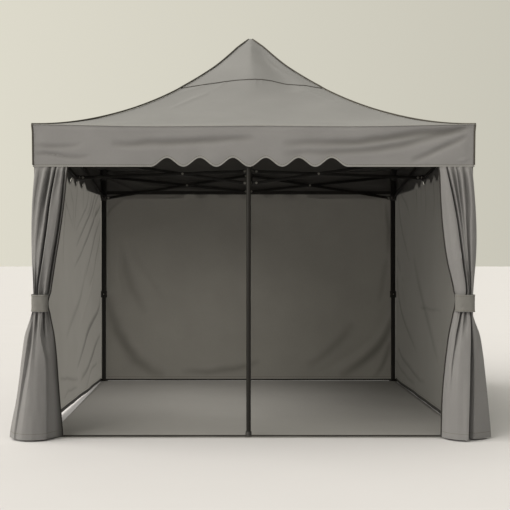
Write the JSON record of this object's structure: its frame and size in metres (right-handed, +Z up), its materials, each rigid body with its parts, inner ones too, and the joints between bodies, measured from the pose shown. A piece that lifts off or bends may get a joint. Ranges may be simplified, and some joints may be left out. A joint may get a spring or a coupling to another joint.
{
  "type": "garden gazebo",
  "caption": "Square folding garden gazebo: steel frame, concave pagoda roof with a scalloped valance, walls on three sides, tied-back door curtains, doorway post and groundsheet.",
  "frame": {"origin": "on the ground, at the middle of the four legs, on the groundsheet's underside", "axes": "+Z up; the open front faces -Y; +X to the right seen from the front"},
  "size_m": [3.38, 3.238, 3.1736],
  "materials": {
    "canopy_cloth": "woven polyester, proofed",
    "wall_cloth": "woven polyester, thin",
    "curtain_cloth": "woven polyester, thin",
    "ground_cloth": "coated woven sheet",
    "frame_steel": "dark powder coat",
    "frame_nylon": "moulded, matte"
  },
  "bodies": {
    "root": {"upper_leg_front_left": "frame_steel", "upper_leg_front_right": "frame_steel", "upper_leg_back_right": "frame_steel", "upper_leg_back_left": "frame_steel", "lower_leg_front_left": "frame_steel", "lower_leg_front_right": "frame_steel", "lower_leg_back_right": "frame_steel", "lower_leg_back_left": "frame_steel", "leg_bracket_front_left": "frame_nylon", "leg_bracket_front_right": "frame_nylon", "leg_bracket_back_right": "frame_nylon", "leg_bracket_back_left": "frame_nylon", "leg_slider_front_left": "frame_nylon", "leg_slider_front_right": "frame_nylon", "leg_slider_back_right": "frame_nylon", "leg_slider_back_left": "frame_nylon", "side_truss_front": "frame_steel", "side_truss_right": "frame_steel", "side_truss_back": "frame_steel", "side_truss_left": "frame_steel", "cross_truss_front": "frame_steel", "cross_truss_right": "frame_steel", "cross_truss_back": "frame_steel", "cross_truss_left": "frame_steel", "hub_upper": "frame_nylon", "hub_lower": "frame_nylon", "mast": "frame_steel", "mast_head": "frame_nylon", "door_post": "frame_steel", "door_post_foot": "frame_nylon", "roof_cloth": "canopy_cloth", "roof_cap": "canopy_cloth", "valance_front": "canopy_cloth", "valance_right": "canopy_cloth", "valance_back": "canopy_cloth", "valance_left": "canopy_cloth", "wall_left": "wall_cloth", "wall_right": "wall_cloth", "wall_back": "wall_cloth", "curtain_left": "curtain_cloth", "curtain_right": "curtain_cloth", "tieback_left": "curtain_cloth", "tieback_right": "curtain_cloth", "groundsheet": "ground_cloth"}
  },
  "joints": []
}
